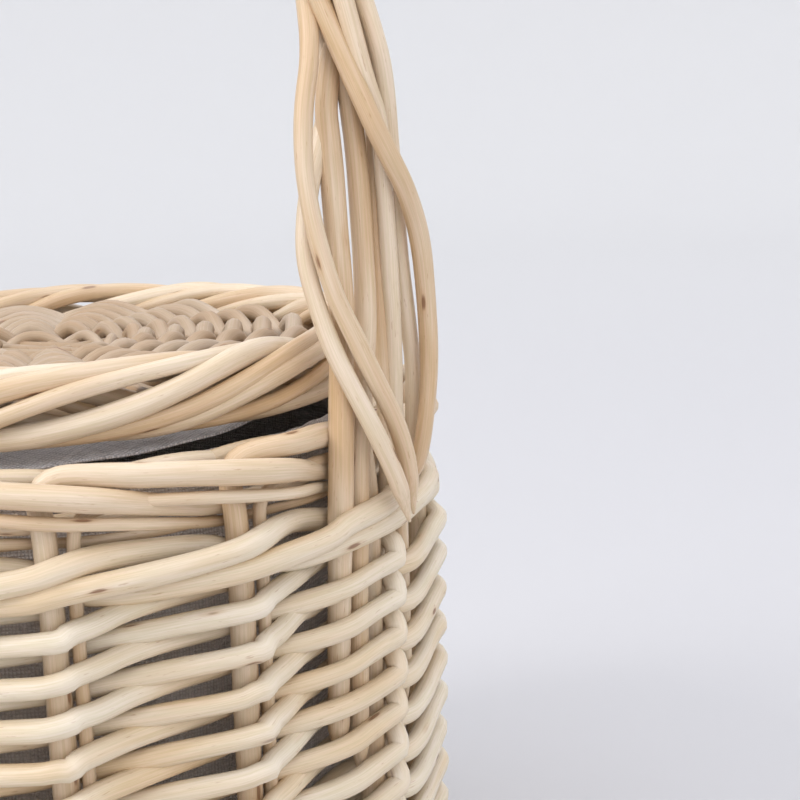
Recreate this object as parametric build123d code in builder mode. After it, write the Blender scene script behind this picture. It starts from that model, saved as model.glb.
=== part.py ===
"""Round willow basket with a hinged woven lid, a twisted hoop handle and a cloth liner.

The basket stands on Z = 0 with its origin at the bottom centre. The handle's feet are at +X and -X, the
front is -Y and the lid's hinge is at +Y. All sizes are in millimetres. Each woven band is one closed
ring of the weave's true outer size, with the stakes running up through it.
"""

import os
from math import cos, pi, radians, sin

from build123d import *

# Wall: stakes stand on a ring that widens from the foot to the rim.
stake_count = 14
foot_ring_r = 109.0
rim_ring_r = 115.0
wall_half = 8.9
stake_r = 3.6
bye_stake_r = 1.9
bye_stake_gap = 0.3
stake_foot_z = 8.0
stake_foot_in = 34.0
stake_bend_r = 9.0

# Heights of the woven bands, from the floor up.
upsett_top = 24.0
weave_top = 139.0
wale_top = 153.0
rim_top = 176.0
rim_in_r = 100.0
rim_out_r = 124.0
rim_round = 5.0
stake_top = rim_top - 12.0

# Crossed sticks, laid the same way in the base and in the lid.
base_slit_count = 3
lid_slit_count = 4
through_count = 4
slit_stick_r = 3.6
slit_stick_gap = 7.6
through_stick_r = 2.5
through_stick_gap = 5.6
slit_width = through_count * through_stick_gap
slit_height = 5.3
cross_r = 19.0

# Base.
base_weave_out_r = 99.8
base_bottom = 2.5
base_thick = 11.0
base_stick_half = 95.0

# Handle: four bow rods whose feet go deep into the wall on both sides of a stake, two wrapping rods
# that end over the wale outside and two that end in the border inside.
handle_half_span = 117.0
handle_spring_z = 275.0
handle_rod_r = 3.5
handle_pitch = 7.4
bow_foot_z = 88.0
bow_splay = 8.2
splay_low_z = 190.0
splay_high_z = 262.0
splay_bend_r = 60.0
outer_wrap_foot_z = 146.0
inner_wrap_foot_z = rim_top - 10.0

# Lid: woven disc on crossed sticks, a tall rope-like wale round its edge, and a cloth lining below.
lid_edge_mid_r = 95.5
lid_edge_half_width = 9.0
lid_edge_half_height = 11.5
lid_edge_mid_z = 188.0
lid_weave_mid_z = 188.5
lid_weave_half = 7.0
lid_weave_out_r = 86.0
lid_stick_half = 94.0
lining_r = 97.0
lining_bottom = 174.4
lining_top = 176.2

# Hinge: two closed withy links round the lid's edge and through the rim.
hinge_y = 95.0
hinge_z = 188.0
loop_wire_r = 1.5
loop_bend_r = 16.0
loop_half_apart = 15.0
loop_low_z = 166.0
loop_clearance = 0.6
weave_slot_end_y = 95.0
lining_slot_end_y = 91.0

# Liner: a cloth cup inside the weave.
liner_out_r = 98.4
liner_thick = 1.2
liner_floor_z = 15.0
liner_top = 171.5
hem_height = 14.0
hem_thick = 1.0

os.makedirs("parts", exist_ok=True)


def save(piece, name):
    """Writes one finished piece under its node name."""
    piece.part.label = name
    export_step(piece.part, f"parts/{name}.step")


def ring_r(z):
    """Radius of the stake ring at a height."""
    return foot_ring_r + (rim_ring_r - foot_ring_r) * z / rim_top


def radial_plane(angle):
    """Upright plane through the axis: its x runs outward at that angle and its y runs up."""
    a = radians(angle)
    return Plane(origin=(0, 0, 0), x_dir=(cos(a), sin(a), 0), z_dir=(sin(a), -cos(a), 0))


def woven_band(z_low, z_high):
    """One woven band of the wall as a closed ring that follows the stakes' slope."""
    with BuildPart() as ring:
        with BuildSketch(Plane.XZ):
            with BuildLine():
                Polyline(
                    (ring_r(z_low) - wall_half, z_low),
                    (ring_r(z_low) + wall_half, z_low),
                    (ring_r(z_high) + wall_half, z_high),
                    (ring_r(z_high) - wall_half, z_high),
                    close=True,
                )
            make_face()
        revolve(axis=Axis.Z)
    return ring


def stake(angle):
    """A stake pushed into the base, bent up at the foot ring and leaning out to the rim."""
    with BuildPart() as rod:
        with BuildLine(radial_plane(angle)) as path:
            FilletPolyline(
                (foot_ring_r - stake_foot_in, stake_foot_z),
                (foot_ring_r, stake_foot_z),
                (ring_r(stake_top), stake_top),
                radius=stake_bend_r,
            )
        with BuildSketch(Plane(origin=path.line @ 0, z_dir=path.line % 0)):
            Circle(stake_r)
        sweep()
    return rod


def bye_stake(angle):
    """A thin straight rod that stands beside a stake, from inside the upsett to the rim."""
    with BuildPart() as rod:
        with BuildLine(radial_plane(angle)) as path:
            Line((ring_r(upsett_top / 2), upsett_top / 2), (ring_r(stake_top), stake_top))
        with BuildSketch(Plane(origin=path.line @ 0, z_dir=path.line % 0)):
            Circle(bye_stake_r)
        sweep()
    return rod


def wrap_rod(along_y, outward, foot_z):
    """A wrapping handle rod: up one side, over in a half circle and down the other, in one plane."""
    half_span = handle_half_span + outward
    with BuildPart() as rod:
        with BuildLine(Plane.XZ.offset(-along_y)) as path:
            Line((half_span, foot_z), (half_span, handle_spring_z))
            ThreePointArc(
                (half_span, handle_spring_z),
                (0, handle_spring_z + half_span),
                (-half_span, handle_spring_z),
            )
            Line((-half_span, handle_spring_z), (-half_span, foot_z))
        with BuildSketch(Plane(origin=path.line @ 0, z_dir=path.line % 0)):
            Circle(handle_rod_r)
        sweep()
    return rod


def bow_rod(arch_y, foot_y):
    """A bow rod of the handle: its legs stand wide at the foot and draw in before the arch."""
    x = handle_half_span
    with BuildPart() as rod:
        with BuildLine() as path:
            FilletPolyline(
                (x, foot_y, bow_foot_z),
                (x, foot_y, splay_low_z),
                (x, arch_y, splay_high_z),
                (x, arch_y, handle_spring_z),
                radius=splay_bend_r,
            )
            ThreePointArc(
                (x, arch_y, handle_spring_z),
                (0, arch_y, handle_spring_z + x),
                (-x, arch_y, handle_spring_z),
            )
            FilletPolyline(
                (-x, arch_y, handle_spring_z),
                (-x, arch_y, splay_high_z),
                (-x, foot_y, splay_low_z),
                (-x, foot_y, bow_foot_z),
                radius=splay_bend_r,
            )
        with BuildSketch(Plane(origin=path.line @ 0, z_dir=path.line % 0)):
            Circle(handle_rod_r)
        sweep()
    return rod


def slit_sticks(count, half_length, mid_z):
    """Sticks side by side along X, each slit at the middle for the crossing sticks."""
    with BuildPart() as layer:
        with BuildSketch(Plane.YZ.offset(-half_length)):
            with Locations((0, mid_z)):
                with GridLocations(slit_stick_gap, 1, count, 1):
                    Circle(slit_stick_r)
        extrude(amount=2 * half_length)
        with Locations((0, 0, mid_z)):
            Box(slit_width, (count + 1) * slit_stick_gap, slit_height, mode=Mode.SUBTRACT)
    return layer


def through_sticks(half_length, mid_z):
    """Thinner sticks side by side along Y, lying in the slits."""
    with BuildPart() as layer:
        with BuildSketch(Plane.XZ.offset(-half_length)):
            with Locations((0, mid_z)):
                with GridLocations(through_stick_gap, 1, through_count, 1):
                    Circle(through_stick_r)
        extrude(amount=2 * half_length)
    return layer


def hinge_loop(x):
    """A closed link in an upright plane: a round head over the lid's edge and a round foot in the rim."""
    front_y = hinge_y - loop_bend_r
    back_y = hinge_y + loop_bend_r
    with BuildPart() as loop:
        with BuildLine(Plane.YZ.offset(x)) as path:
            ThreePointArc((back_y, hinge_z), (hinge_y, hinge_z + loop_bend_r), (front_y, hinge_z))
            Line((front_y, hinge_z), (front_y, loop_low_z))
            ThreePointArc((front_y, loop_low_z), (hinge_y, loop_low_z - loop_bend_r), (back_y, loop_low_z))
            Line((back_y, loop_low_z), (back_y, hinge_z))
        with BuildSketch(Plane(origin=path.line @ 0, z_dir=path.line % 0)):
            Circle(loop_wire_r)
        sweep()
    return loop


# ---- Base: slit sticks, the sticks through them, and the weave round them ----
base_mid_z = base_bottom + base_thick / 2
save(slit_sticks(base_slit_count, base_stick_half, base_mid_z), "base_sticks_slit")
save(through_sticks(base_stick_half, base_mid_z), "base_sticks_through")

with BuildPart() as base_weave:
    with BuildSketch(Plane.XY.offset(base_bottom)):
        Circle(base_weave_out_r)
        Circle(cross_r, mode=Mode.SUBTRACT)
    extrude(amount=base_thick)
save(base_weave, "base_weave")

# ---- Stakes, and the thin bye-stake beside each ----
stake_angles = [index * 360 / stake_count for index in range(stake_count)]
for number, angle in enumerate(stake_angles, start=1):
    save(stake(angle), f"stake_{number:02d}")

bye_turn = 180 / pi * (stake_r + bye_stake_r + bye_stake_gap) / foot_ring_r
bye_rods = [bye_stake(angle + bye_turn).part for angle in stake_angles]
with BuildPart() as bye_stakes:
    add(bye_rods)
save(bye_stakes, "bye_stakes")

# ---- Woven bands of the wall, and the rim ----
save(woven_band(0, upsett_top), "upsett_wale")
save(woven_band(upsett_top, weave_top), "side_weave")
save(woven_band(weave_top, wale_top), "top_wale")

with BuildPart() as rim_border:
    with BuildSketch(Plane.XZ):
        with Locations(((rim_in_r + rim_out_r) / 2, (wale_top + rim_top) / 2)):
            RectangleRounded(rim_out_r - rim_in_r, rim_top - wale_top, rim_round)
    revolve(axis=Axis.Z)
save(rim_border, "rim_border")

# ---- Handle: a row of four bow rods, with two wrapping rods inside and two outside the row ----
for number, place in enumerate((-1.5, -0.5, 0.5, 1.5), start=1):
    arch_y = place * handle_pitch
    foot_y = arch_y + (bow_splay if place > 0 else -bow_splay)
    save(bow_rod(arch_y, foot_y), f"handle_bow_rod_{number}")

wrap_layers = ((-1, inner_wrap_foot_z), (1, outer_wrap_foot_z))
wrap_places = [(side / 2, layer, foot_z) for layer, foot_z in wrap_layers for side in (-1, 1)]
for number, (side, layer, foot_z) in enumerate(wrap_places, start=1):
    rod = wrap_rod(side * handle_pitch, layer * handle_pitch, foot_z)
    save(rod, f"handle_wrap_rod_{number}")

# ---- Cloth liner: a cup, with a hem band stitched round its top ----
with BuildPart() as liner:
    with BuildSketch(Plane.XY.offset(liner_floor_z)):
        Circle(liner_out_r)
    extrude(amount=liner_top - liner_floor_z)
    with BuildSketch(Plane.XY.offset(liner_floor_z + liner_thick)):
        Circle(liner_out_r - liner_thick)
    extrude(amount=liner_top, mode=Mode.SUBTRACT)
save(liner, "liner")

hem_out_r = liner_out_r - liner_thick
with BuildPart() as liner_hem:
    with BuildSketch(Plane.XY.offset(liner_top - hem_height)):
        Circle(hem_out_r)
        Circle(hem_out_r - hem_thick, mode=Mode.SUBTRACT)
    extrude(amount=hem_height)
save(liner_hem, "liner_hem")

# ---- Hinge ----
save(hinge_loop(-loop_half_apart), "hinge_loop_left")
save(hinge_loop(loop_half_apart), "hinge_loop_right")

# ---- Lid ----
with BuildPart() as lid_edge_wale:
    with BuildSketch(Plane.XZ):
        with Locations((lid_edge_mid_r, lid_edge_mid_z)):
            Ellipse(lid_edge_half_width, lid_edge_half_height)
    revolve(axis=Axis.Z)
save(lid_edge_wale, "lid_edge_wale")

save(slit_sticks(lid_slit_count, lid_stick_half, lid_weave_mid_z), "lid_sticks_slit")
save(through_sticks(lid_stick_half, lid_weave_mid_z), "lid_sticks_through")

slot_width = 2 * (loop_wire_r + loop_clearance)
slot_start_y = hinge_y - loop_bend_r - loop_wire_r - loop_clearance
weave_slot_length = weave_slot_end_y - slot_start_y
with BuildPart() as lid_weave:
    with BuildSketch(Plane.XY.offset(lid_weave_mid_z - lid_weave_half)):
        Circle(lid_weave_out_r)
        Circle(cross_r, mode=Mode.SUBTRACT)
        with Locations((0, slot_start_y + weave_slot_length / 2)):
            with GridLocations(2 * loop_half_apart, 1, 2, 1):
                Rectangle(slot_width, weave_slot_length, mode=Mode.SUBTRACT)
    extrude(amount=2 * lid_weave_half)
save(lid_weave, "lid_weave")

lining_slot_length = lining_slot_end_y - slot_start_y
with BuildPart() as lid_lining:
    with BuildSketch(Plane.XY.offset(lining_bottom)):
        Circle(lining_r)
        with Locations((0, slot_start_y + lining_slot_length / 2)):
            with GridLocations(2 * loop_half_apart, 1, 2, 1):
                Rectangle(slot_width, lining_slot_length, mode=Mode.SUBTRACT)
    extrude(amount=lining_top - lining_bottom)
save(lid_lining, "lid_lining")
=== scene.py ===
"""Round willow basket with a woven lid, a twisted hoop handle and a cloth liner, woven rod by rod.

Lengths are in millimetres until a mesh is made. Angles are degrees round the basket from +X. A weave's
place along the wall is counted in gaps, from one stake to the next.
"""

import math

import bpy
import numpy as np
from mathutils import Matrix, Vector


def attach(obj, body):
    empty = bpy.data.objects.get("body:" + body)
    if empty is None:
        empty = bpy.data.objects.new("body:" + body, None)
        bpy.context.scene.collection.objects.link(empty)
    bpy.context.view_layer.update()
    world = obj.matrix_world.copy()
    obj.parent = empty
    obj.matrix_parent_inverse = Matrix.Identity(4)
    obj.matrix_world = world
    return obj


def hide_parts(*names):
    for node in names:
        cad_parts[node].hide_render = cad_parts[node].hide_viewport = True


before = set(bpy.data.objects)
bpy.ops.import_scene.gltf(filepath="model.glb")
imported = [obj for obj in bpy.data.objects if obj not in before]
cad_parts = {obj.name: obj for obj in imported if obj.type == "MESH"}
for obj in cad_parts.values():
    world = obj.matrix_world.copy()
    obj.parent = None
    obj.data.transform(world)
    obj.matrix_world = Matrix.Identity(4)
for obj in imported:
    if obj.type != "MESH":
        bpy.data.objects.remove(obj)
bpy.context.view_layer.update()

MM = 0.001
SEED = 7

# Wall, as in the frame.
STAKES = 14
GAP = 360 / STAKES
FOOT_R = 109.0
RIM_R = 115.0
RIM_Z = 176.0
STAKE_R = 3.6
BYE_R = 1.9
BYE_SHIFT = 5.8 / FOOT_R * 180 / math.pi / GAP
HANDLE_STAKES = (0, STAKES // 2)

# Smoothing and density of the rods.
SIDES = 12
STEP = 2.2
ROUNDS = 3
POINT_LENGTH = 12.0
POINT_SHARE = 0.2
BEVEL_R = 0.8
BEVEL_OUT = 0.18
PINCH_SWELL = 0.07
OVAL = 0.035

rng = np.random.default_rng(SEED)


def ring_r(z):
    """Radius of the stake ring at a height."""
    return FOOT_R + (RIM_R - FOOT_R) * z / RIM_Z


def at(angle, radius, z):
    """A point from its angle in degrees, its radius and its height."""
    a = math.radians(angle)
    return (radius * math.cos(a), radius * math.sin(a), z)


# ---- Rods -------------------------------------------------------------------------------------------


def smoothed(keys, step=STEP, rounds=ROUNDS):
    """Corner-cut curve through rows of (x, y, z, radius, pinch and painted highlight), read off at even
    steps.
    """
    k = np.asarray(keys, float)
    for _ in range(rounds):
        near, far = k[:-1], k[1:]
        cut = np.empty((2 * len(near), k.shape[1]))
        cut[0::2] = 0.75 * near + 0.25 * far
        cut[1::2] = 0.25 * near + 0.75 * far
        k = np.vstack([k[:1], cut, k[-1:]])
    run = np.concatenate([[0], np.cumsum(np.linalg.norm(np.diff(k[:, :3], axis=0), axis=1))])
    count = max(4, int(run[-1] / step) + 1)
    where = np.linspace(0, run[-1], count)
    return np.stack([np.interp(where, run, k[:, i]) for i in range(k.shape[1])], 1), where


def carried_frames(points):
    """Unit side vectors along a curve, carried from point to point without twist."""
    tangent = np.gradient(points, axis=0)
    tangent /= np.linalg.norm(tangent, axis=1, keepdims=True)
    side = np.cross(tangent[0], (0.0, 0.0, 1.0))
    if np.linalg.norm(side) < 0.1:
        side = np.cross(tangent[0], (0.0, 1.0, 0.0))
    sides = []
    for t in tangent:
        side = side - t * side.dot(t)
        side = side / np.linalg.norm(side)
        sides.append(side)
    sides = np.array(sides)
    return tangent, sides, np.cross(tangent, sides)


class Weave:
    """Collects rods into one mesh, with the grain, tone and pinch that the willow material reads. The pinch
    swells a rod and marks a painted highlight.
    """

    def __init__(self):
        self.points, self.faces, self.grain, self.tone, self.pinch_and_highlight = [], [], [], [], []
        self.count = 0

    def rod(self, keys, step=STEP, sides=SIDES, wobble=0.05, rounds=ROUNDS, pointed=False):
        curve, run = smoothed(keys, step, rounds)
        centre, radius, pinch_and_highlight = curve[:, :3], curve[:, 3], curve[:, 4]
        phase = rng.uniform(0, 2 * math.pi, 4)
        radius = radius * (1 + wobble * np.sin(run / 17 + phase[0]) * np.sin(run / 7.3 + phase[1]))
        radius = radius * (1 + PINCH_SWELL * np.clip(pinch_and_highlight, 0, 1))
        if pointed:
            from_end = np.minimum(run, run[-1] - run)
            radius = radius * np.clip(POINT_SHARE + from_end / POINT_LENGTH, 0, 1)
        tangent, side, up = carried_frames(centre)
        n = len(centre)
        # Both ends are closed by a bevelled ring and a middle point.
        rings = [centre[0]] + list(centre) + [centre[-1]]
        ring_radius = np.concatenate([[radius[0] * BEVEL_R], radius, [radius[-1] * BEVEL_R]])
        rings = np.array(rings)
        rings[0] -= tangent[0] * radius[0] * BEVEL_OUT
        rings[-1] += tangent[-1] * radius[-1] * BEVEL_OUT
        side = np.vstack([side[:1], side, side[-1:]])
        up = np.vstack([up[:1], up, up[-1:]])
        run = np.concatenate([[run[0] - 0.5], run, [run[-1] + 0.5]])
        pinch_and_highlight = np.concatenate([[0], pinch_and_highlight, [0]])
        n += 2
        turn = np.linspace(0, 2 * math.pi, sides, endpoint=False)
        oval = 1 + OVAL * np.sin(run / 23 + phase[2])
        cos, sin = np.cos(turn), np.sin(turn)
        spread = ring_radius[:, None, None] * (
            cos[None, :, None] * side[:, None, :] * oval[:, None, None]
            + sin[None, :, None] * up[:, None, :] / oval[:, None, None]
        )
        surface = (rings[:, None, :] + spread).reshape(-1, 3)
        self.points.append(surface)
        self.points.append(np.array([rings[0], rings[-1]]))
        start, shift = self.count, rng.uniform(0, 900)
        along = np.repeat(run + shift, sides)
        across = (ring_radius[:, None] * cos[None, :]).ravel()
        upward = (ring_radius[:, None] * sin[None, :]).ravel()
        self.grain.append(np.stack([along, across + shift % 40, upward], 1))
        ends = [[run[0] + shift, shift % 40, 0], [run[-1] + shift, shift % 40, 0]]
        self.grain.append(np.array(ends))
        total = n * sides + 2
        self.tone.append(np.full(total, rng.uniform()))
        self.pinch_and_highlight.append(np.concatenate([np.repeat(pinch_and_highlight, sides), [0, 0]]))
        i = np.arange(n - 1)[:, None] * sides + np.arange(sides)[None, :]
        j = np.arange(n - 1)[:, None] * sides + (np.arange(sides)[None, :] + 1) % sides
        quads = np.stack([i, j, j + sides, i + sides], 2).reshape(-1, 4) + start
        self.faces += quads.tolist()
        low, high = start + n * sides, start + n * sides + 1
        last = start + (n - 1) * sides
        for s in range(sides):
            nxt = (s + 1) % sides
            self.faces.append([start + nxt, start + s, low])
            self.faces.append([last + s, last + nxt, high])
        self.count += total

    def piece(self, name, body, slot, material, *nodes):
        """Makes the mesh, rides it on its body and stands it in for its CAD nodes."""
        mesh = bpy.data.meshes.new(name)
        mesh.from_pydata((np.vstack(self.points) * MM).tolist(), [], self.faces)
        grain = mesh.attributes.new("grain", "FLOAT_VECTOR", "POINT")
        grain.data.foreach_set("vector", np.vstack(self.grain).astype(np.float32).ravel())
        for label, values in (("tone", self.tone), ("pinch_and_highlight", self.pinch_and_highlight)):
            attribute = mesh.attributes.new(label, "FLOAT", "POINT")
            attribute.data.foreach_set("value", np.concatenate(values).astype(np.float32))
        mesh.shade_smooth()
        mesh.materials.append(material)
        piece = bpy.data.objects.new(name, mesh)
        bpy.context.scene.collection.objects.link(piece)
        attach(piece, body)
        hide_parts(*nodes)
        return piece


# ---- Materials --------------------------------------------------------------------------------------


class Nodes:
    """Short calls for building a material's node tree."""

    def __init__(self, name):
        self.material = bpy.data.materials.new(name)
        self.material.use_nodes = True
        self.tree = self.material.node_tree
        self.shader = self.tree.nodes["Principled BSDF"]

    def add(self, kind, inputs=(), **settings):
        node = self.tree.nodes.new(kind)
        for key, value in settings.items():
            setattr(node, key, value)
        for key, value in dict(inputs).items():
            self.put(node.inputs[key], value)
        return node

    def put(self, socket, value):
        if isinstance(value, bpy.types.NodeSocket):
            self.tree.links.new(value, socket)
        else:
            socket.default_value = value

    def mix(self, factor, a, b, blend="MIX"):
        node = self.add("ShaderNodeMix", data_type="RGBA", blend_type=blend)
        self.put(node.inputs[0], factor)
        self.put(node.inputs[6], a)
        self.put(node.inputs[7], b)
        return node.outputs[2]

    def math(self, operation, a, b=0.0, c=0.0):
        node = self.add("ShaderNodeMath", operation=operation)
        for socket, value in zip(node.inputs, (a, b, c)):
            self.put(socket, value)
        return node.outputs[0]

    def span(self, value, low, high, to_low=0.0, to_high=1.0):
        node = self.add("ShaderNodeMapRange", interpolation_type="SMOOTHSTEP")
        names = ("Value", "From Min", "From Max", "To Min", "To Max")
        for key, given in zip(names, (value, low, high, to_low, to_high)):
            self.put(node.inputs[key], given)
        return node.outputs["Result"]

    def scaled(self, vector, scale):
        node = self.add("ShaderNodeVectorMath", operation="MULTIPLY")
        self.put(node.inputs[0], vector)
        node.inputs[1].default_value = scale
        return node.outputs["Vector"]

    def noise(self, vector, detail=3.0, roughness=0.55):
        inputs = {"Vector": vector, "Scale": 1.0, "Detail": detail, "Roughness": roughness}
        return self.add("ShaderNodeTexNoise", inputs).outputs["Fac"]


# How fast each pattern changes along a rod and across it, per millimetre.
FIBRES = (0.05, 2.4, 2.4)
STREAKS = (0.028, 0.55, 0.55)
PATCHES = (0.014, 0.09, 0.09)
SCARS = (0.045, 0.17, 0.17)
FLECKS = (0.22, 1.7, 1.7)
HALO_BROWN = (0.50, 0.27, 0.12, 1)
SCAR_BROWN = (0.20, 0.085, 0.035, 1)
FLECK_BROWN = (0.40, 0.20, 0.085, 1)
# A painted highlight, laid on where the pinch value marks a kink or a rod's top.
PAINTED_HIGHLIGHT = (0.90, 0.82, 0.70, 1)
BARE_SHARE = 0.52
GRAIN_DEPTH = 0.00035


def willow(name, pale, tan, rough=0.42):
    """Peeled willow: long grain streaks, warm patches, brown bud scars and a painted highlight on pinched
    kinks and rod tops.
    """
    n = Nodes(name)
    grain = n.add("ShaderNodeAttribute", attribute_name="grain").outputs["Vector"]
    tone = n.add("ShaderNodeAttribute", attribute_name="tone").outputs["Fac"]
    pinch_and_highlight = n.add("ShaderNodeAttribute", attribute_name="pinch_and_highlight").outputs["Fac"]
    fibres = n.noise(n.scaled(grain, FIBRES), 4.0, 0.6)
    streaks = n.noise(n.scaled(grain, STREAKS), 3.0)
    patches = n.noise(n.scaled(grain, PATCHES), 2.0)
    warm = n.math("MULTIPLY_ADD", tone, 0.42, n.math("MULTIPLY_ADD", patches, 1.5, -0.52))
    warm = n.span(n.math("MULTIPLY_ADD", streaks, 0.45, n.math("ADD", warm, -0.22)), 0.0, 1.0)
    colour = n.mix(warm, pale, tan)
    fibre_shade = n.span(fibres, 0.30, 0.70, 0.90, 1.05)
    colour = n.mix(1.0, colour, n.add("ShaderNodeCombineColor", {
        "Red": fibre_shade, "Green": fibre_shade, "Blue": n.math("MULTIPLY", fibre_shade, fibre_shade),
    }).outputs["Color"], "MULTIPLY")
    # Bud scars: a few small long spots, brown in the middle and darker at the rim.
    cells = n.add("ShaderNodeTexVoronoi", {
        "Vector": n.scaled(grain, SCARS), "Scale": 1.0, "Randomness": 1.0,
    })
    kept = n.math("GREATER_THAN", n.add("ShaderNodeSeparateColor", {
        "Color": cells.outputs["Color"]}).outputs["Red"], BARE_SHARE)
    ragged = n.math("MULTIPLY_ADD", fibres, 0.12, cells.outputs["Distance"])
    scar = n.math("MULTIPLY", kept, n.span(ragged, 0.13, 0.20, 1.0, 0.0))
    halo = n.math("MULTIPLY", kept, n.span(ragged, 0.14, 0.32, 1.0, 0.0))
    colour = n.mix(n.math("MULTIPLY", halo, 0.35), colour, HALO_BROWN)
    colour = n.mix(n.math("MULTIPLY", scar, 0.80), colour, SCAR_BROWN)
    # Fine brown flecks that lie along the grain.
    flecks = n.noise(n.scaled(grain, FLECKS), 2.0, 0.5)
    colour = n.mix(n.span(flecks, 0.66, 0.76, 0.0, 0.45), colour, FLECK_BROWN)
    # Painted highlight: paler where the pinch value marks a kink or a rod's top.
    colour = n.mix(n.math("MULTIPLY", pinch_and_highlight, 0.42), colour, PAINTED_HIGHLIGHT)
    n.put(n.shader.inputs["Base Color"], colour)
    n.put(n.shader.inputs["Roughness"], n.span(streaks, 0.2, 0.8, rough - 0.07, rough + 0.13))
    n.shader.inputs["Specular IOR Level"].default_value = 0.5
    height = n.math("MULTIPLY_ADD", fibres, 0.5, n.math("MULTIPLY", scar, -0.9))
    height = n.math("MULTIPLY_ADD", halo, 0.5, height)
    bump = n.add("ShaderNodeBump", {"Height": height, "Strength": 0.45, "Distance": GRAIN_DEPTH})
    n.put(n.shader.inputs["Normal"], bump.outputs["Normal"])
    return n.material


def cloth(name, light, dark, threads_per_m=1000.0):
    """Coarse plain-weave cloth: threads over and under, uneven in thickness and shade, with painted shade
    between the threads.
    """
    n = Nodes(name)
    place = n.add("ShaderNodeAttribute", attribute_name="cloth").outputs["Vector"]
    wander = n.add("ShaderNodeTexNoise", {"Vector": place, "Scale": 160.0, "Detail": 2.0})
    offset = n.scaled(wander.outputs["Color"], (0.0009, 0.0009, 0.0))
    bent = n.add("ShaderNodeVectorMath", operation="ADD")
    n.put(bent.inputs[0], place)
    n.put(bent.inputs[1], offset)
    parts = n.add("ShaderNodeSeparateXYZ", {"Vector": bent.outputs["Vector"]})
    angle = math.pi * threads_per_m
    warp = n.math("SINE", n.math("MULTIPLY", parts.outputs["X"], angle))
    weft = n.math("SINE", n.math("MULTIPLY", parts.outputs["Y"], angle))
    over = n.math("MULTIPLY", warp, weft)
    # Painted shade: the thread crowns are paler and the hollows between threads darker, on top of the
    # over-and-under and slub tone.
    crown = n.math("MULTIPLY", n.math("ABSOLUTE", warp), n.math("ABSOLUTE", weft))
    slub = n.noise(n.scaled(place, (90.0, 900.0, 0.0)), 2.0)
    slub_across = n.noise(n.scaled(place, (900.0, 90.0, 0.0)), 2.0)
    uneven = n.math("ADD", slub, slub_across)
    tone = n.math("MULTIPLY_ADD", crown, 0.75, n.math("MULTIPLY_ADD", over, 0.10, uneven))
    colour = n.mix(n.span(tone, 0.55, 1.75), dark, light)
    n.put(n.shader.inputs["Base Color"], colour)
    n.shader.inputs["Roughness"].default_value = 0.92
    n.shader.inputs["Specular IOR Level"].default_value = 0.15
    n.shader.inputs["Sheen Weight"].default_value = 0.25
    bump = n.add("ShaderNodeBump", {"Height": tone, "Strength": 0.7, "Distance": 0.0006})
    n.put(n.shader.inputs["Normal"], bump.outputs["Normal"])
    return n.material


PALE = (0.77, 0.645, 0.50, 1)
CREAM = (0.77, 0.675, 0.54, 1)
TAN = (0.60, 0.40, 0.225, 1)
WARM = (0.70, 0.51, 0.31, 1)
# The lid's two colours below are a darker copy of the willow: painted shade on the lid's weave and sticks,
# where little light falls from above.
LID_SHADED_PALE = (0.445, 0.335, 0.24, 1)
LID_SHADED_TAN = (0.38, 0.24, 0.13, 1)
willow_weavers = willow("willow_weavers", CREAM, WARM)
willow_stakes = willow("willow_stakes", PALE, TAN)
willow_border = willow("willow_border", PALE, WARM)
willow_handle = willow("willow_handle", PALE, TAN, 0.38)
willow_lid_edge = willow("willow_lid_edge", PALE, TAN, 0.40)
willow_lid = willow("willow_lid", LID_SHADED_PALE, LID_SHADED_TAN, 0.50)
willow_base = willow("willow_base", PALE, TAN)
willow_hinge = willow("willow_hinge", PALE, TAN)
liner_weave = cloth("liner_weave", (0.84, 0.77, 0.73, 1), (0.58, 0.52, 0.48, 1))
lining_weave = cloth("lining_weave", (0.66, 0.63, 0.63, 1), (0.34, 0.32, 0.33, 1))


# ---- Wall -------------------------------------------------------------------------------------------

RAND_LOW = 28.5
RAND_PITCH = 11.5
RAND_GAPS = 19
RAND_R = 3.3
RAND_TAPER = 0.35
RAND_STEP = 1.95
FRONT = 6.3
BEHIND = -6.3

# How far the rods that stand together at a stake reach to its left and right, in gaps.
STAKE_CONTACT = (-0.10, 0.03)
HANDLE_CONTACT = (-0.43, 0.06)

# How far a rod climbs in its sharp bend past a stake.
STAKE_KINK = 1.5
HANDLE_KINK = 5.6


def key(gaps, off, z, radius, pinch_and_highlight=0.0, shake=0.3):
    """One row of a rod's course, at a place counted in gaps and a distance out from the stake ring."""
    out = ring_r(z) + off + rng.normal(0, shake * 0.6)
    return (*at(gaps * GAP, out, z + rng.normal(0, shake)), radius, pinch_and_highlight)


def past_handle(place):
    """How many gaps a place lies past the nearer handle foot. It's negative before the foot."""
    half = STAKES // 2
    return (place + half / 2) % half - half / 2


def at_handle(stake):
    """Whether a stake is one of the two that have a handle foot."""
    return stake % STAKES in HANDLE_STAKES


def contact(stake):
    """The reach of the rods at a stake. It's wider at a handle foot, which has its rods there too."""
    return HANDLE_CONTACT if at_handle(stake) else STAKE_CONTACT


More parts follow.
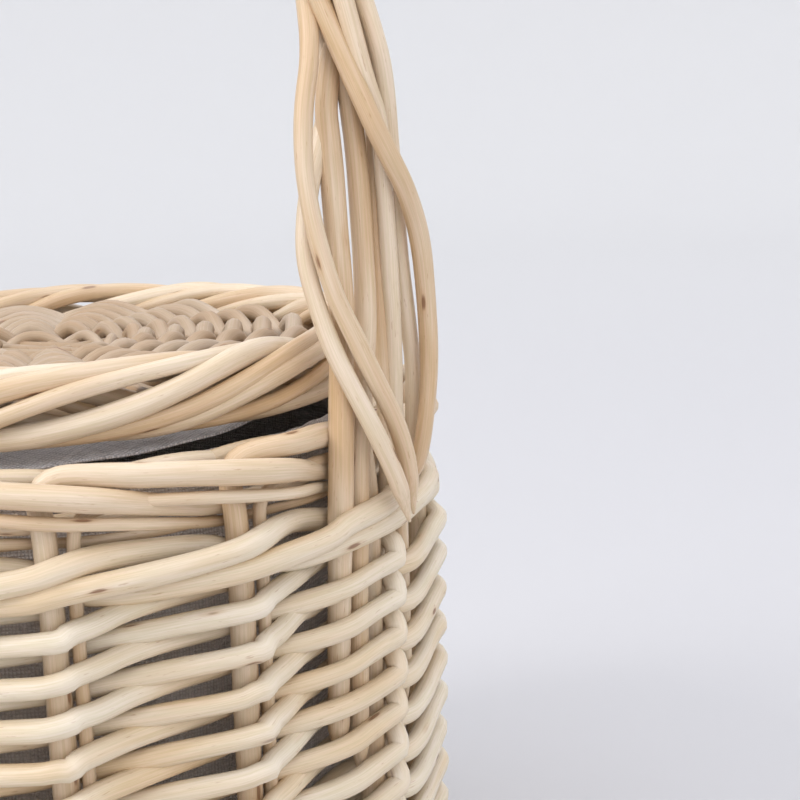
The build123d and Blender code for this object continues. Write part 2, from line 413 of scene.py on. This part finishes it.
def rand_rod(weave, start):
    """A rod of the French rand: it climbs one thickness per gap, in front of a stake, then behind."""
    keys = []
    for gap in range(-1, RAND_GAPS + 1):
        stake = start + gap
        left, right = contact(stake)
        z = RAND_LOW + RAND_PITCH / 2 * gap
        radius = RAND_R - RAND_TAPER * gap / RAND_GAPS
        rise = RAND_PITCH / 2
        if gap % 2 == 0:
            keys.append(key(stake + left, FRONT - 0.4, z + rise * left, radius))
            keys.append(key(stake + (left + right) / 2, FRONT + 0.5, z + rise * 0.02, radius))
            kink = HANDLE_KINK if at_handle(stake) else STAKE_KINK
            # The pinch values round this bend swell the rod and paint a highlight on its kink.
            keys.append(key(stake + right, FRONT + 0.4, z + 0.2, radius, 0.6))
            keys.append(key(stake + right + 0.014, FRONT + 0.4, z + 0.6, radius, 1.0, 0.1))
            keys.append(key(stake + right + 0.045, FRONT - 1.2, z + kink, radius * 0.98, 0.5, 0.1))
            if at_handle(stake):
                keys.append(key(stake + right + 0.08, -0.5, z + kink + 1.2, radius))
                keys.append(key(stake + right + 0.15, BEHIND + 1.6, z + kink, radius))
            else:
                keys.append(key(stake + right + 0.15, FRONT - 3.2, z + kink + 1.0, radius))
                keys.append(key(stake + right + 0.36, -1.6, z + kink + 2.6, radius))
        else:
            keys.append(key(stake + left - 0.03, BEHIND + 0.9, z + rise * left, radius))
            keys.append(key(stake + (left + right) / 2, BEHIND, z, radius))
            keys.append(key(stake + right, BEHIND + 0.8, z + rise * right, radius))
            if at_handle(stake) and gap < RAND_GAPS:
                keys.append(key(stake + right + 0.12, FRONT - 2.0, z + 2.0, radius))
                keys.append(key(stake + right + 0.24, FRONT + 0.6, z + 2.8, radius))
    weave.rod(keys, step=RAND_STEP)


def pulled_in(place):
    """How tightly the top wale is drawn in at a place: most just past each handle foot, from 0 to 1."""
    return math.exp(-(((past_handle(place) - 1.1) / 0.85) ** 4))


def wale_rod(weave, start, gaps, z_low, z_high, lift, rod_r, tucked):
    """A rod of a three-rod wale: under the others, in front of two stakes, over them and behind one."""
    keys = []
    for gap in range(gaps + 1):
        stake = start + gap
        left, right = contact(stake)
        z = z_low + (z_high - z_low) * gap / gaps
        radius = rod_r * (1.05 - 0.2 * gap / gaps)
        # The pinch in a course row swells the rod at its bend and paints a highlight there.
        phase = gap % 3
        if phase == 0:
            course = (
                (left, BEHIND + 0.6, 0.5, 0), (right, BEHIND + 0.8, -0.5, 0), (right + 0.22, -0.8, -1, 0),
            )
        elif phase == 1:
            course = (
                (left, FRONT + 0.2, -0.6, 0), (right, FRONT + 0.8, -0.35, 0), (0.5, FRONT + 0.7, 0, 0),
            )
        else:
            course = (
                (left, FRONT + 0.8, 0.45, 0), (right, FRONT + 0.4, 0.75, 0.7), (right + 0.22, 1.0, 1, 0),
            )
        for past, off, share, pinch_and_highlight in course:
            drawn = pulled_in(stake + past) if tucked else 0.0
            height = z + share * lift * (1 - 0.35 * drawn) - 2.6 * drawn
            keys.append(key(stake + past, off - 2.2 * drawn, height, radius, pinch_and_highlight))
    weave.rod(keys)


side_weave = Weave()
for first in range(STAKES):
    rand_rod(side_weave, first)
side_weave.piece("side_weave_rods", "basket", "willow_weavers", willow_weavers, "side_weave")

WALE_RODS = 3

top_wale = Weave()
for first in range(WALE_RODS):
    wale_rod(top_wale, first, STAKES + 2, z_low=146.0, z_high=146.6, lift=5.6, rod_r=3.35, tucked=True)
top_wale.piece("top_wale_rods", "basket", "willow_weavers", willow_weavers, "top_wale")

upsett = Weave()
for first in range(WALE_RODS):
    wale_rod(upsett, first, 2 * STAKES + 1, z_low=6.4, z_high=18.6, lift=2.9, rod_r=2.9, tucked=False)
upsett.piece("upsett_wale_rods", "basket", "willow_weavers", willow_weavers, "upsett_wale")

# ---- Stakes and bye-stakes, bent down into the border in pairs -----------------------------------------

# (gaps, distance out, height, radius) of a stake's end, from where it leaves the wale.
STAKE_END = (
    (-0.01, -0.8, 158, 3.3), (-0.03, -1.6, 167, 3.15), (0.00, -1.8, 171.2, 3.05), (0.10, -1.0, 172.9, 3.0),
    (0.35, 1.2, 172.6, 3.3), (0.72, 4.2, 171.2, 3.5), (1.00, 6.2, 169.4, 3.5), (1.25, 5.4, 167.0, 3.3),
    (1.60, 0.8, 162.6, 2.9), (1.92, -6.6, 159.2, 2.45), (2.20, -8.8, 159.0, 2.3), (2.55, -9.0, 159.8, 2.1),
    (2.85, -9.4, 160.4, 1.8),
)
BYE_END = (
    (0.13, -0.4, 156, 1.85), (0.15, 0.0, 161.5, 1.85), (0.30, 1.6, 165.2, 1.8), (0.70, 5.0, 165.0, 1.8),
    (1.00, 5.2, 162.6, 1.9), (1.30, 4.6, 160.4, 1.8), (1.65, -0.6, 157.4, 1.6), (1.95, -7.0, 154.6, 1.5),
    (2.20, -7.6, 153.6, 1.45), (2.60, -7.0, 154.0, 1.3), (2.95, -7.4, 155.0, 1.1),
)


def stake_keys(stake):
    """A stake from its foot in the base, up the wall and down into the border."""
    angle = stake * GAP
    keys = [(*at(angle, radius, 8.0), STAKE_R * 0.92, 0) for radius in (76, 90, 101)]
    keys.append((*at(angle, FOOT_R - 2.5, 8.4), STAKE_R, 0))
    # The pinch at the foot's bend swells the stake and paints a highlight there.
    keys.append((*at(angle, FOOT_R, 11.0), STAKE_R, 0.4))
    keys.append((*at(angle, ring_r(18), 18.0), STAKE_R, 0))
    keys += [(*at(angle, ring_r(z), z), STAKE_R - z * 0.001, 0) for z in (45, 80, 115, 142)]
    keys += end_keys(stake, STAKE_END)
    return keys


def end_keys(stake, course):
    """The bent end of a stake or bye-stake, which goes behind a handle foot, never in front of it."""
    keys = []
    for gaps, off, z, radius in course:
        if gaps > 0.3 and -0.48 < past_handle(stake + gaps) < 0.5:
            off = min(off, -5.8)
        if at_handle(stake) and 0.02 < gaps < 1.2:
            off -= 4.0
            z -= 3.0
        keys.append(key(stake + gaps, off, z, radius, 0, 0.35))
    return keys


for stake in range(STAKES):
    single = Weave()
    single.rod(stake_keys(stake), wobble=0.03)
    number = f"{stake + 1:02d}"
    single.piece(f"stake_{number}_rod", "basket", "willow_stakes", willow_stakes, f"stake_{number}")

bye = Weave()
for stake in range(STAKES):
    lean = rng.normal(0, 0.01)
    keys = [(*at((stake + BYE_SHIFT + lean) * GAP, ring_r(z), z), BYE_R, 0) for z in (12, 50, 100, 146)]
    keys += end_keys(stake, BYE_END)
    bye.rod(keys, sides=10)
bye.piece("bye_stake_rods", "basket", "willow_stakes", willow_stakes, "bye_stakes")

# Two rods lie inside the rim, under the stakes' laid ends, and carry the lid.
INNER_OFF = -11.4
INNER_Z = 170.4
INNER_R = 2.3

rim = Weave()
for lane in range(2):
    keys = []
    for place in range(2 * STAKES + 3):
        swing = 1 if (place + lane) % 2 else -1
        keys.append(key(place / 2 + 0.25, INNER_OFF + swing * 1.2, INNER_Z + swing * 1.9, INNER_R))
    rim.rod(keys)
rim.piece("rim_border_rods", "basket", "willow_border", willow_border, "rim_border")


# ---- Twined rounds, for the base and the lid ---------------------------------------------------------


def twined(weave, spokes, r_in, rounds, pitches, mid_z, rod_rs, stick_r):
    """Two rods twined round the spokes, one over each spoke and one under, crossing between spokes.

    The pitch of the rounds and the radius of the rods go from the first value to the second.
    """
    first_pitch, last_pitch = pitches
    thin_r, thick_r = rod_rs
    growth = (last_pitch - first_pitch) / (2 * rounds)
    for strand in (0, 1):
        keys = []
        for quarter in range(4 * spokes * rounds + 1):
            u = quarter / 4
            lap = u / spokes
            share = lap / rounds
            rod_r = thin_r + (thick_r - thin_r) * share
            wave = math.cos(math.pi * (u + strand))
            swing = math.sin(math.pi * (u + strand))
            z = mid_z + math.copysign(abs(wave) ** 0.9, wave) * (stick_r + rod_r - 0.4)
            r = r_in + first_pitch * lap + growth * lap * lap + swing * 0.55 * rod_r
            shake = 0.12 + 0.2 * share
            top = (*at(360 * lap, r + rng.normal(0, shake), z + rng.normal(0, shake)), rod_r)
            # The pinch at each crossing, and a little all along, paints a highlight on the rods.
            keys.append((*top, 0.7 if quarter % 4 == 2 else 0.2))
        weave.rod(keys, sides=10, rounds=2)


def spokes_from_cross(weave, count, gap, along_y, step, reach, mid_z, rod_r):
    """Sticks that lie side by side across the middle and open out to even angles at both ends."""
    for index in range(count):
        place = index - (count - 1) / 2
        offset = place * gap
        near = [(x, offset, mid_z) for x in (-16, -8, 0, 8, 16)]
        far = []
        for r in (30, 45, 65, reach):
            a = math.radians(place * step)
            far.append((r * math.cos(a), r * math.sin(a), mid_z))
        back = [(-x, y, z) for x, y, z in reversed(far)]
        line = back + near + far
        if along_y:
            line = [(-y, x, z) for x, y, z in line]
        keys = [(*point, rod_r * (1.0 if abs(i - 6) < 3 else 0.86), 0) for i, point in enumerate(line)]
        weave.rod(keys, step=4.0)


BASE_Z = 8.0
LID_Z = 187.2
LID_SPOKE_STEP = 22.5
STICK_REACH = 96
LID_STICK_REACH = 97

base_slit, base_through = Weave(), Weave()
spokes_from_cross(base_slit, 3, 7.6, False, GAP, STICK_REACH, BASE_Z, 3.2)
base_slit.piece("base_slit_sticks", "basket", "willow_base", willow_base, "base_sticks_slit")
spokes_from_cross(base_through, 4, 5.6, True, GAP, STICK_REACH, BASE_Z, 2.6)
base_through.piece("base_through_sticks", "basket", "willow_base", willow_base, "base_sticks_through")
base_rounds = Weave()
twined(base_rounds, 4, 17.0, 2, (3.8, 3.8), BASE_Z, (1.4, 1.5), 3.2)
twined(base_rounds, STAKES, 26.5, 9, (6.6, 9.0), BASE_Z, (1.7, 2.3), 2.2)
base_rounds.piece("base_weave_rods", "basket", "willow_base", willow_base, "base_weave")

lid_slit, lid_through = Weave(), Weave()
spokes_from_cross(lid_slit, 4, 7.2, False, LID_SPOKE_STEP, LID_STICK_REACH, LID_Z, 2.9)
lid_slit.piece("lid_slit_sticks", "lid", "willow_lid", willow_lid, "lid_sticks_slit")
spokes_from_cross(lid_through, 4, 5.6, True, LID_SPOKE_STEP, LID_STICK_REACH, LID_Z, 2.6)
lid_through.piece("lid_through_sticks", "lid", "willow_lid", willow_lid, "lid_sticks_through")
lid_rounds = Weave()
twined(lid_rounds, 8, 17.5, 1, (6.2, 6.2), LID_Z, (1.8, 1.9), 2.6)
twined(lid_rounds, 16, 26.5, 6, (9.2, 9.8), LID_Z, (2.7, 2.95), 2.3)
lid_rounds.piece("lid_weave_rods", "lid", "willow_lid", willow_lid, "lid_weave")

# ---- Rope-like wale round the lid's edge -------------------------------------------------------------

EDGE_R = 95.5
EDGE_Z = 188.0
EDGE_WIDE = 5.7
EDGE_TALL = 8.3
EDGE_TURNS = 27 / 8
EDGE_RODS = (3.3, 2.3, 3.1, 2.7, 3.3, 2.4, 3.2, 2.6)
EDGE_MEAN_R = 2.9

edge = Weave()
for index, rod_r in enumerate(EDGE_RODS):
    keys = []
    drift = rng.uniform(0, 360, 2)
    for angle in range(0, 363, 6):
        sway = 13 * math.sin(math.radians(3 * angle + drift[0]))
        sway += 7 * math.sin(math.radians(7 * angle + drift[1]))
        lie = math.radians(index * 45 + EDGE_TURNS * angle + sway)
        spare = (EDGE_MEAN_R - rod_r) * 0.6
        wide = EDGE_WIDE + spare
        r = EDGE_R + wide * math.cos(lie)
        z = EDGE_Z + (EDGE_TALL + spare) * math.sin(lie)
        # The pinch on each rod's top paints a highlight there and swells it slightly.
        keys.append((*at(90 + angle, r, z), rod_r, 0.35 * max(0, math.sin(lie)) ** 8))
    edge.rod(keys)
edge.piece("lid_edge_rods", "lid", "willow_lid", willow_lid_edge, "lid_edge_wale")

# ---- Handle ------------------------------------------------------------------------------------------

# Each foot is drawn in its own upright plane: across to the right, towards the front right, and up.
FOOT_X = 118.0
FACE = math.radians(40)
ARCH_HALF = 112.0
ARCH_LOW = 275.0
ARCH_RISE = 115.0
ARCH_START = 9.0
BUNDLE_R = 7.3
RING_RODS = ("F", "E", "D", "Q", "P", "R2", "R3b")
RING_FIRST = 88.0
RING_STEP = 360 / len(RING_RODS)
RING_PAIRING = 3
RING_TWIST = 180 - 2 * RING_FIRST - RING_PAIRING * RING_STEP + 720
CORE_R = 0.4
ARCH_STEPS = 34
ARCH_ROD_R = 2.9

# (across, towards the front, height, radius) from the bundle down to the rod's end.
FEET = {
    "D": ((-1, 7, 262, 2.9), (6, 5, 247, 2.9), (10.8, 2, 238, 2.9), (15.6, -4, 224, 2.8), (17, -6, 206, 2.8),
          (17.2, -6, 188, 2.7), (15.2, -4, 173, 2.6), (12.8, -5, 160, 2.5), (9, -10, 150, 2.4)),
    "E": ((0, 5, 269, 2.6), (4.2, 2, 258, 2.6), (5.6, -2.5, 240, 2.5), (6.2, -3.5, 219, 2.5),
          (6.6, -4, 195, 2.4), (6.2, -5, 176, 2.4), (7.4, -9, 162, 2.3), (8.8, -15, 148, 2.2),
          (8.8, -17.5, 128, 2.2), (8.6, -17.5, 108, 2.2), (8.4, -17.5, 84, 2.0)),
    "F": ((4.7, 3, 277, 2.6), (6.6, 0, 266, 2.6), (8.4, -5, 247, 2.5), (10.4, -8.5, 218, 2.5),
          (12.2, -10, 200, 2.4), (13.4, -11, 187, 2.4), (12.8, -10, 174, 2.4), (12, -12, 161, 2.3),
          (9, -15, 152, 2.1)),
    "Q": ((-14, 4, 276, 2.7), (-17.4, 8, 262, 2.6), (-18.6, 10.5, 249, 2.6), (-18.2, 12, 238, 2.6),
          (-16.2, 14, 225, 2.6), (-12.6, 15, 211, 2.7), (-8.2, 15, 201, 2.7), (-2.7, 14, 188, 2.7),
          (2.2, 11.5, 178, 2.6), (6.3, 8.4, 166, 2.5), (7.8, 6.4, 155, 2.4), (8.4, 5.2, 147, 2.2)),
    "P": ((-8, -2, 264, 2.6), (-13, 1.5, 250, 2.6), (-16.8, 5, 239, 2.6), (-19, 8, 227, 2.6),
          (-19.2, 10, 219, 2.6), (-17.5, 12, 210, 2.6), (-14, 14, 197, 2.7), (-8.7, 15.5, 185, 2.7),
          (-2.6, 14.6, 172, 2.7), (2.8, 12, 159, 2.7), (5, 10.4, 151, 2.6), (6.2, 9.8, 146, 2.5)),
    "R2": ((-10.4, 0, 264, 3.3), (-9.8, 2, 250, 3.4), (-9.6, 4, 230, 3.5), (-9.4, 7, 208, 3.5),
           (-11, 9, 187, 3.5), (-12.3, 10.5, 166, 3.5), (-13.4, 11, 150, 3.5), (-14.6, 10, 128, 3.5),
           (-15.8, 9, 104, 3.4), (-17, 8, 78, 3.2)),
    "R3": ((-3, -2, 262, 3.1), (-1.8, -2, 245, 3.1), (-1.5, -1, 224, 3.1), (-1.9, 1.5, 204, 3.1),
           (-4.2, 4, 187, 3.1), (-6.3, 5.5, 166, 3), (-7.2, 6, 150, 2.9), (-8.4, 5.5, 128, 2.9),
           (-9.4, 5, 104, 2.9), (-10.4, 4.5, 71, 2.8)),
    "R3b": ((4.4, -5, 262, 2.7), (3.6, -6, 244, 2.6), (3.2, -6, 224, 2.6), (3.0, -5, 199, 2.6),
            (3.4, -5, 184, 2.6), (4, -6, 170, 2.5), (4.6, -10, 156, 2.5), (3.6, -13, 140, 2.5),
            (2.6, -13.5, 116, 2.5), (1.8, -13.5, 80, 2.3)),
}


def foot_point(across, towards, z, left):
    """A point of a foot. The left foot is the right one turned half round the basket."""
    x = FOOT_X + across * math.cos(FACE) + towards * math.sin(FACE)
    y = across * math.sin(FACE) - towards * math.cos(FACE)
    return (-x, -y, z) if left else (x, y, z)


def arch_point(turn, lie, bundle_r):
    """A point of the arch, turn degrees over from the right foot, at an angle round the bundle."""
    t = math.radians(turn)
    outward = np.array((math.cos(t) / ARCH_HALF, 0, math.sin(t) / ARCH_RISE))
    outward /= np.linalg.norm(outward)
    centre = np.array((ARCH_HALF * math.cos(t), 0, ARCH_LOW + ARCH_RISE * math.sin(t)))
    a = math.radians(lie)
    return centre + bundle_r * (math.cos(a) * np.array((0, 1, 0)) + math.sin(a) * outward)


def handle_keys(name):
    """A handle rod from its end at the right foot, over the arch, to its end at the left foot."""
    keys = [(*foot_point(a, d, z, False), r, 0) for a, d, z, r in reversed(FEET[name])]
    if name in RING_RODS:
        index = RING_RODS.index(name)
        other = RING_RODS[(RING_PAIRING - index) % len(RING_RODS)]
        first, bundle_r = RING_FIRST + index * RING_STEP, BUNDLE_R
    else:
        other, first, bundle_r = name, 0.0, CORE_R
    for step in range(ARCH_STEPS + 1):
        share = step / ARCH_STEPS
        turn = ARCH_START + (180 - 2 * ARCH_START) * share
        lie = first + RING_TWIST * share + 7 * math.sin(9 * share + index_shift(name))
        swell = bundle_r * (1 + 0.05 * math.sin(14 * share + 2 * index_shift(name)))
        keys.append((*arch_point(turn, lie, swell), ARCH_ROD_R - 0.15 * math.sin(math.pi * share), 0))
    keys += [(*foot_point(a, d, z, True), r, 0) for a, d, z, r in FEET[other]]
    return keys


def index_shift(name):
    """A phase of its own for each handle rod."""
    return 1.7 * sorted(FEET).index(name)


HANDLE_NODES = {
    "R2": "handle_bow_rod_1", "R3": "handle_bow_rod_2", "R3b": "handle_bow_rod_3", "E": "handle_bow_rod_4",
    "F": "handle_wrap_rod_1", "D": "handle_wrap_rod_2", "P": "handle_wrap_rod_3", "Q": "handle_wrap_rod_4",
}
for name, node in HANDLE_NODES.items():
    single = Weave()
    single.rod(handle_keys(name), sides=16, wobble=0.035, pointed=True)
    single.piece(f"{node}_willow", "basket", "willow_handle", willow_handle, node)

# ---- Hinge loops: thin split withy, two turns each ---------------------------------------------------

HINGE_Y = 95.0
HINGE_Z = 188.0
LOOP_R = 16.0
LOOP_LOW = 166.0
LOOP_X = 15.0
WITHY_R = 0.8
for side, label in ((-1, "left"), (1, "right")):
    loop = Weave()
    for strand in (-0.75, 0.75):
        keys = []
        for degrees in range(0, 181, 20):
            a = math.radians(degrees)
            keys.append((HINGE_Y + LOOP_R * math.cos(a), HINGE_Z + LOOP_R * math.sin(a)))
        for degrees in range(180, 361, 20):
            a = math.radians(degrees)
            keys.append((HINGE_Y + LOOP_R * math.cos(a), LOOP_LOW + LOOP_R * math.sin(a)))
        keys.append(keys[0])
        course = [(side * LOOP_X + strand, y, z, WITHY_R, 0) for y, z in keys]
        loop.rod(course, step=1.5, sides=8, rounds=2)
    node = f"hinge_loop_{label}"
    loop.piece(f"{node}_withy", "basket", "willow_hinge", willow_hinge, node)

# ---- Cloth -------------------------------------------------------------------------------------------


CLOTH_THICK = 0.7


def cloth_piece(name, body, material, points, faces, places, node):
    """A sheet of cloth with its own thickness, and the place of each point on the flat cloth."""
    mesh = bpy.data.meshes.new(name)
    mesh.from_pydata([[c * MM for c in p] for p in points], [], faces)
    attribute = mesh.attributes.new("cloth", "FLOAT_VECTOR", "POINT")
    flat = np.array([(x * MM, y * MM, 0) for x, y in places], np.float32)
    attribute.data.foreach_set("vector", flat.ravel())
    mesh.shade_smooth()
    mesh.materials.append(material)
    piece = bpy.data.objects.new(name, mesh)
    bpy.context.scene.collection.objects.link(piece)
    bpy.context.view_layer.objects.active = piece
    solid = piece.modifiers.new("thickness", "SOLIDIFY")
    solid.thickness = CLOTH_THICK * MM
    solid.offset = 0
    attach(piece, body)
    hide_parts(node)
    return piece


def grid_faces(rows, columns):
    """Quads of a grid that closes round its columns."""
    faces = []
    for row in range(rows - 1):
        for column in range(columns):
            nxt = (column + 1) % columns
            faces.append([row * columns + column, row * columns + nxt,
                          (row + 1) * columns + nxt, (row + 1) * columns + column])
    return faces


LINER_R = 97.6
LINER_LOW = 15.6
LINER_TOP = 171.2
LINER_TALL = LINER_TOP - LINER_LOW
COLUMNS = 240
CENTRE_R = 1.5


def fold(angle, height):
    """How far the liner hangs in from the weave: soft upright folds, deeper at the middle height."""
    a = math.radians(angle)
    wave = math.sin(5 * a + 1.0) + 0.7 * math.sin(9 * a + 2.1) + 0.5 * math.sin(14 * a + 0.4)
    slack = math.sin(math.pi * min(1, max(0, height))) ** 0.7
    return 1.5 + slack * (1.6 + 1.0 * wave) + 0.4 * math.sin(31 * a + 4 * height)


def ring_points(rows, radius_at, height_at, along):
    """Points and flat places of a round cloth, row by row."""
    points, places = [], []
    for row in range(rows):
        share = row / (rows - 1)
        for column in range(COLUMNS):
            angle = 360 * column / COLUMNS
            points.append(at(angle, radius_at(share, angle), height_at(share, angle)))
            places.append(along(share, angle))
    return points, places


def upright(share, angle):
    """Place on the flat cloth of a point on an upright wall."""
    return (math.radians(angle) * LINER_R, share * LINER_TALL)


def wall_height(share, angle):
    """Height of a point on the liner's wall, whose top edge is slightly uneven."""
    return LINER_LOW + share * LINER_TALL + 0.5 * share * math.sin(math.radians(4 * angle))


WALL_ROWS = 40
wall_points, wall_places = ring_points(
    WALL_ROWS,
    lambda share, angle: LINER_R - fold(angle, share),
    wall_height,
    upright,
)
FLOOR_ROWS = 22
FLOOR_R = 96


def floor_height(share, angle):
    """Height of the cloth floor, lying on the base weave with slight puckers near the wall."""
    return LINER_LOW + 0.5 * share**3 * math.sin(math.radians(17 * angle)) * (1 - share) * 4


floor_points, floor_places = ring_points(
    FLOOR_ROWS,
    lambda share, angle: CENTRE_R + (LINER_R - fold(angle, 0) - CENTRE_R) * share,
    floor_height,
    lambda share, angle: at(angle, FLOOR_R * share, 0)[:2],
)
faces = grid_faces(WALL_ROWS, COLUMNS)
base = len(wall_points)
faces += [[base + i for i in reversed(face)] for face in grid_faces(FLOOR_ROWS, COLUMNS)]
middle = base + len(floor_points)
faces += [[base + (c + 1) % COLUMNS, base + c, middle] for c in range(COLUMNS)]
liner = cloth_piece(
    "liner_cloth_bag", "basket", liner_weave,
    wall_points + floor_points + [(0, 0, LINER_LOW)], faces, wall_places + floor_places + [(0, 0)], "liner",
)

HEM_TALL = 13.0
HEM_ROWS = 9
HEM_INSIDE = 0.9
HEM_FOLD_SPAN = 156.0


def hem_radius(share, angle):
    """Radius of the hem, just inside the liner's wall and slightly rounded over its height."""
    wall_r = LINER_R - fold(angle, 1 - (1 - share) * HEM_TALL / HEM_FOLD_SPAN)
    return wall_r - HEM_INSIDE - 0.3 * math.sin(math.pi * share)


def hem_height(share, angle):
    """Height of a point on the hem, with the wall's uneven top and the stitches' small puckers."""
    uneven = 0.5 * math.sin(math.radians(4 * angle)) + 0.15 * math.sin(math.radians(60 * angle))
    return LINER_TOP - HEM_TALL * (1 - share) + 0.25 + uneven


hem_points, hem_places = ring_points(
    HEM_ROWS, hem_radius, hem_height,
    lambda share, angle: (math.radians(angle) * LINER_R, share * HEM_TALL),
)
hem = cloth_piece(
    "liner_hem_band", "basket", liner_weave,
    hem_points, grid_faces(HEM_ROWS, COLUMNS), hem_places, "liner_hem",
)

LINING_ROWS = 26
LINING_R = 89.5
LINING_Z = 177.2
LOOSE_OUT = 7.0
LOOSE_AT = 128.0
HINGE_AT = 90.0
HINGE_CUT = 15.0


def hanging(angle):
    """How far the lining's edge has come loose at an angle, from 0 to 1: it hangs in two places."""
    a = math.radians(angle - LOOSE_AT)
    return max(0.0, 0.5 + 0.5 * math.cos(a)) ** 10 + 0.5 * max(0.0, math.cos(a - 3.5)) ** 8


def lining_edge(angle):
    """Radius of the lining's edge: wider where it hangs loose, cut back at the hinge loops."""
    cut = HINGE_CUT * math.exp(-(((angle - HINGE_AT) / 19.0) ** 4))
    return LINING_R + LOOSE_OUT * hanging(angle) - cut


def lining_height(share, angle):
    """The lid's lining is pulled tight under the weave and hangs down where its edge is loose."""
    a = math.radians(angle)
    wave = 0.35 * math.sin(11 * a) + 0.25 * math.sin(19 * a + 1.3)
    return LINING_Z + wave * share**4 - 5.0 * hanging(angle) * share**5


lining_points, lining_places = ring_points(
    LINING_ROWS,
    lambda share, angle: CENTRE_R + (lining_edge(angle) - CENTRE_R) * share,
    lining_height,
    lambda share, angle: at(angle, LINING_R * share, 0)[:2],
)
faces = grid_faces(LINING_ROWS, COLUMNS)
middle = len(lining_points)
faces += [[(c + 1) % COLUMNS, c, middle] for c in range(COLUMNS)]
lining = cloth_piece(
    "lid_lining_cloth", "lid", lining_weave,
    lining_points + [(0, 0, LINING_Z)], faces, lining_places + [(0, 0)], "lid_lining",
)

# ---- Studio ------------------------------------------------------------------------------------------


# Colours of the backdrop near the basket and far from it. It's darker near the basket as painted shade and
# paler far away as a painted gradient of light.
FLOOR_NEAR_SHADED = (0.575, 0.572, 0.59, 1)
FLOOR_FAR = (0.685, 0.685, 0.69, 1)
SWEEP_STEPS = 12


def backdrop():
    """A round pale floor that curves up into a wall on every side."""
    floor_r, bend, top, columns = 2.2, 1.2, 3.2, 96
    profile = [(0.001, 0.0), (0.5, 0.0), (1.2, 0.0), (floor_r, 0.0)]
    for step in range(1, SWEEP_STEPS + 1):
        a = math.radians(90 * step / SWEEP_STEPS)
        profile.append((floor_r + bend * math.sin(a), bend * (1 - math.cos(a))))
    profile.append((floor_r + bend, top))
    points = [(r * math.cos(2 * math.pi * c / columns), r * math.sin(2 * math.pi * c / columns), z)
              for r, z in profile for c in range(columns)]
    mesh = bpy.data.meshes.new("backdrop")
    mesh.from_pydata(points, [], grid_faces(len(profile), columns))
    mesh.shade_smooth()
    n = Nodes("backdrop")
    position = n.add("ShaderNodeNewGeometry").outputs["Position"]
    distance = n.add("ShaderNodeVectorMath", operation="LENGTH")
    n.put(distance.inputs[0], position)
    # Painted shade near the basket, fading out to the paler far backdrop.
    paler = n.span(distance.outputs["Value"], 0.3, 2.8)
    n.put(n.shader.inputs["Base Color"], n.mix(paler, FLOOR_NEAR_SHADED, FLOOR_FAR))
    n.shader.inputs["Roughness"].default_value = 0.9
    n.shader.inputs["Specular IOR Level"].default_value = 0.1
    mesh.materials.append(n.material)
    stage = bpy.data.objects.new("backdrop", mesh)
    bpy.context.scene.collection.objects.link(stage)


def soft_light(name, place, target, size, power, colour=(1, 1, 1)):
    """A square softbox that faces its target."""
    light = bpy.data.lights.new(name, "AREA")
    light.shape = "SQUARE"
    light.size = size
    light.energy = power
    light.color = colour
    lamp = bpy.data.objects.new(name, light)
    lamp.location = place
    lamp.rotation_mode = "QUATERNION"
    lamp.rotation_quaternion = (Vector(target) - Vector(place)).to_track_quat("-Z", "Y")
    bpy.context.scene.collection.objects.link(lamp)


backdrop()
MID_HEIGHT = (0, 0, 0.18)
soft_light("key", (0.9, 1.5, 1.5), MID_HEIGHT, size=0.7, power=19, colour=(1.0, 0.985, 0.97))
soft_light("fill", (-1.7, 1.1, 0.9), MID_HEIGHT, size=1.4, power=8, colour=(1.0, 0.98, 0.95))
soft_light("top", (-0.1, -0.5, 2.3), (0, 0, 0.2), size=1.8, power=2)
bpy.context.scene.view_settings.view_transform = "Standard"
world = bpy.data.worlds.new("studio")
world.use_nodes = True
world.node_tree.nodes["Background"].inputs["Color"].default_value = (0.95, 0.96, 1.0, 1)
world.node_tree.nodes["Background"].inputs["Strength"].default_value = 1.6
bpy.context.scene.world = world

# ---- Camera ------------------------------------------------------------------------------------------

AZIMUTH = 220.0
DISTANCE = 568.2
HEIGHT = 269.1
PAN = 11.18
TILT = 10.2
ROLL = -2.5
LENS = 81.5

heading = math.radians(AZIMUTH)
place = Vector((DISTANCE * math.sin(heading), -DISTANCE * math.cos(heading), HEIGHT)) * MM
view = Vector((-math.sin(heading - math.radians(PAN)), math.cos(heading - math.radians(PAN)), 0))
tilt = math.radians(TILT)
view = view * math.cos(tilt) + Vector((0, 0, -1)) * math.sin(tilt)
right = view.cross(Vector((0, 0, 1))).normalized()
upward = right.cross(view)
roll = math.radians(ROLL)
camera_right = right * math.cos(roll) + upward * math.sin(roll)
camera_up = upward * math.cos(roll) - right * math.sin(roll)
camera = bpy.data.objects.new("camera", bpy.data.cameras.new("camera"))
camera.data.sensor_width = 36.0
camera.data.lens = LENS
camera.data.clip_start = 0.02
camera.data.clip_end = 50.0
camera.matrix_world = Matrix((
    (camera_right.x, camera_up.x, -view.x, place.x),
    (camera_right.y, camera_up.y, -view.y, place.y),
    (camera_right.z, camera_up.z, -view.z, place.z),
    (0, 0, 0, 1),
))
bpy.context.scene.collection.objects.link(camera)
bpy.context.scene.camera = camera
